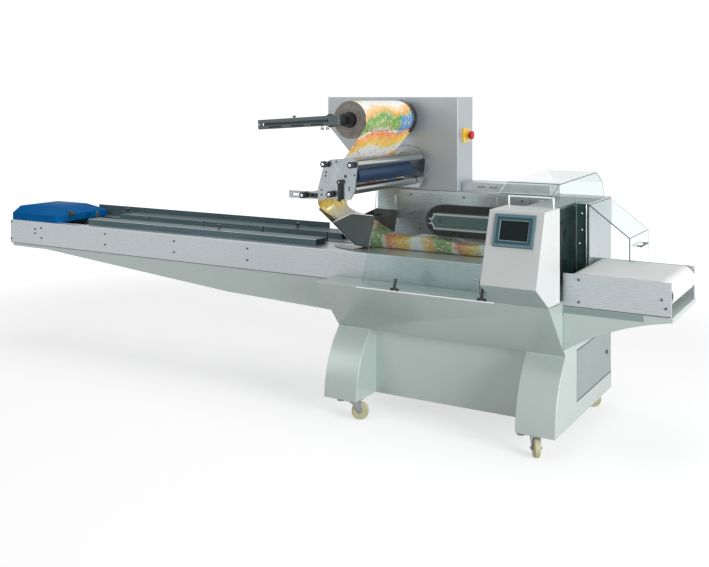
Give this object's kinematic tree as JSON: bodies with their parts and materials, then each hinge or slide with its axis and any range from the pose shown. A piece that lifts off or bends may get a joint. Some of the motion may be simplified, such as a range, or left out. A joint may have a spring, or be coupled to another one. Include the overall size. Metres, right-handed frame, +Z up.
{
  "type": "horizontal film wrapping machine",
  "caption": "Flow wrapping machine: long infeed, film reel and feed unit on a rear tower, forming box, brush press, end seal under a clear hood, outfeed belt, pedestal on casters",
  "frame": {"origin": "on the floor, under the middle of the machine's overall box", "axes": "+X runs with the product from infeed to outfeed, +Y from the operator's side to the back, +Z up"},
  "size_m": [4.38, 1.205, 1.7],
  "materials": {
    "black_bristle": "dense black bristles",
    "black_plastic": "black phenolic plastic",
    "black_steel": "black oxide steel",
    "blue_plastic": "blue moulded plastic",
    "blue_rubber": "dark blue rubber cover",
    "bright_steel": "polished steel rollers and bars",
    "bronze_plate": "dull bronze-tinted steel plate",
    "chain_steel": "oiled chain steel",
    "chrome_wire": "bright chromed wire",
    "clear_acrylic": "clear acrylic sheet with bright edges",
    "cream_wheel": "cream polyurethane",
    "dark_steel": "dark grey steel",
    "display_glass": "dark display behind gloss",
    "green_steel": "dark green-grey paint",
    "painted_panel": "pale grey-green powder coat on folded sheet",
    "printed_film": null,
    "rail_white": "white slide rail",
    "satin_steel": "satin stainless sheet",
    "screen_frame": "blue-grey moulded plastic",
    "stop_red": "red plastic",
    "stop_yellow": "yellow plastic",
    "table_steel": "satin stainless sheet, darker where it faces the channel",
    "unit_steel": "ground steel plate",
    "white_belt": "white coated belt",
    "white_panel": "white powder coat",
    "zinc_steel": "zinc-plated pressed steel"
  },
  "bodies": {
    "root": {"pedestal": "painted_panel", "pedestal_hatch": "painted_panel", "legs": "painted_panel", "lower_housing": "painted_panel", "control_column": "white_panel", "screen_bezel": "screen_frame", "screen_glass": "display_glass", "column_bail": "chrome_wire", "conveyor_sides": "satin_steel", "infeed_bed": "dark_steel", "infeed_chain": "chain_steel", "channel_floor": "satin_steel", "side_tables": "table_steel", "infeed_end_cover": "blue_plastic", "infeed_bracket": "painted_panel", "outfeed_sides": "satin_steel", "outfeed_belt": "white_belt", "outfeed_rollers": "dark_steel", "outfeed_bracket": "painted_panel", "rear_cabinet": "satin_steel", "reel_tower": "satin_steel", "backing_plate": "satin_steel", "reel_shaft": "black_steel", "reel_arm": "dark_steel", "feed_plates": "unit_steel", "feed_bars": "bright_steel", "feed_knobs": "black_plastic", "film_former": "bronze_plate", "former_bracket": "unit_steel", "film_web": "printed_film", "film_tube": "printed_film", "brush_belt": "black_bristle", "brush_frame": "rail_white", "seal_station": "green_steel", "seal_jaws": "bright_steel", "door_hinges": "black_plastic", "hood": "clear_acrylic", "outfeed_guard": "clear_acrylic", "stop_base": "stop_yellow", "caster_plates": "zinc_steel", "levelling_feet": "zinc_steel"},
    "front_door": {"front_door": "clear_acrylic", "door_leaves": "black_plastic"},
    "reel": {"film_roll": "printed_film", "reel_hub": "black_steel"},
    "left_roller": {"left_roller": "bright_steel"},
    "right_roller": {"right_roller": "bright_steel"},
    "rubber_roller": {"rubber_roller": "blue_rubber"},
    "nip_roller": {"nip_roller": "bright_steel"},
    "guide_roller": {"guide_roller": "bright_steel"},
    "nip_lever": {"nip_lever": "black_steel"},
    "stop_button": {"stop_button": "stop_red"},
    "fork_front_left": {"caster_fork_front_left": "zinc_steel"},
    "wheel_front_left": {"caster_wheel_front_left": "cream_wheel"},
    "fork_front_right": {"caster_fork_front_right": "zinc_steel"},
    "wheel_front_right": {"caster_wheel_front_right": "cream_wheel"},
    "fork_back_left": {"caster_fork_back_left": "zinc_steel"},
    "wheel_back_left": {"caster_wheel_back_left": "cream_wheel"},
    "fork_back_right": {"caster_fork_back_right": "zinc_steel"},
    "wheel_back_right": {"caster_wheel_back_right": "cream_wheel"}
  },
  "joints": [
    {"name": "front_door_hinge", "type": "hinge", "parent": "root", "child": "front_door", "pos_m": [1.113, -0.4235, 0.739], "axis": [1, 0, 0], "range_deg": [0, 100]},
    {"name": "reel_spin", "type": "hinge", "parent": "root", "child": "reel", "pos_m": [0.517, 0, 1.578], "axis": [0, 1, 0], "continuous": true},
    {"name": "left_roller_spin", "type": "hinge", "parent": "root", "child": "left_roller", "pos_m": [0.482, 0, 1.351], "axis": [0, 1, 0], "continuous": true},
    {"name": "right_roller_spin", "type": "hinge", "parent": "root", "child": "right_roller", "pos_m": [0.645, 0, 1.352], "axis": [0, 1, 0], "continuous": true},
    {"name": "rubber_roller_spin", "type": "hinge", "parent": "root", "child": "rubber_roller", "pos_m": [0.6, 0, 1.292], "axis": [0, 1, 0], "continuous": true},
    {"name": "nip_roller_spin", "type": "hinge", "parent": "root", "child": "nip_roller", "pos_m": [0.59, 0, 1.214], "axis": [0, 1, 0], "continuous": true},
    {"name": "guide_roller_spin", "type": "hinge", "parent": "root", "child": "guide_roller", "pos_m": [0.345, 0, 1.183], "axis": [0, 1, 0], "continuous": true},
    {"name": "nip_lever_swing", "type": "hinge", "parent": "root", "child": "nip_lever", "pos_m": [0.574, -0.45, 1.262], "axis": [0, -1, 0], "range_deg": [0, 70]},
    {"name": "stop_button_push", "type": "slide", "parent": "root", "child": "stop_button", "axis": [-1, 0, 0], "range_m": [0, 0.006], "stiffness_N_per_m": 800},
    {"name": "swivel_front_left", "type": "hinge", "parent": "root", "child": "fork_front_left", "pos_m": [0.571, -0.3, 0.095], "axis": [0, 0, 1], "continuous": true},
    {"name": "roll_front_left", "type": "hinge", "parent": "fork_front_left", "child": "wheel_front_left", "pos_m": [0.59854, -0.28371, 0.045], "axis": [-0.509, 0.8607, 0], "continuous": true},
    {"name": "swivel_front_right", "type": "hinge", "parent": "root", "child": "fork_front_right", "pos_m": [1.566, -0.295, 0.095], "axis": [0, 0, 1], "continuous": true},
    {"name": "roll_front_right", "type": "hinge", "parent": "fork_front_right", "child": "wheel_front_right", "pos_m": [1.58229, -0.32254, 0.045], "axis": [0.8607, 0.509, 0], "continuous": true},
    {"name": "swivel_back_left", "type": "hinge", "parent": "root", "child": "fork_back_left", "pos_m": [0.571, 0.535, 0.095], "axis": [0, 0, 1], "continuous": true},
    {"name": "roll_back_left", "type": "hinge", "parent": "fork_back_left", "child": "wheel_back_left", "pos_m": [0.54093, 0.54595, 0.045], "axis": [-0.342, -0.9397, 0], "continuous": true},
    {"name": "swivel_back_right", "type": "hinge", "parent": "root", "child": "fork_back_right", "pos_m": [1.566, 0.535, 0.095], "axis": [0, 0, 1], "continuous": true},
    {"name": "roll_back_right", "type": "hinge", "parent": "fork_back_right", "child": "wheel_back_right", "pos_m": [1.59607, 0.54595, 0.045], "axis": [-0.342, 0.9397, 0], "continuous": true}
  ]
}
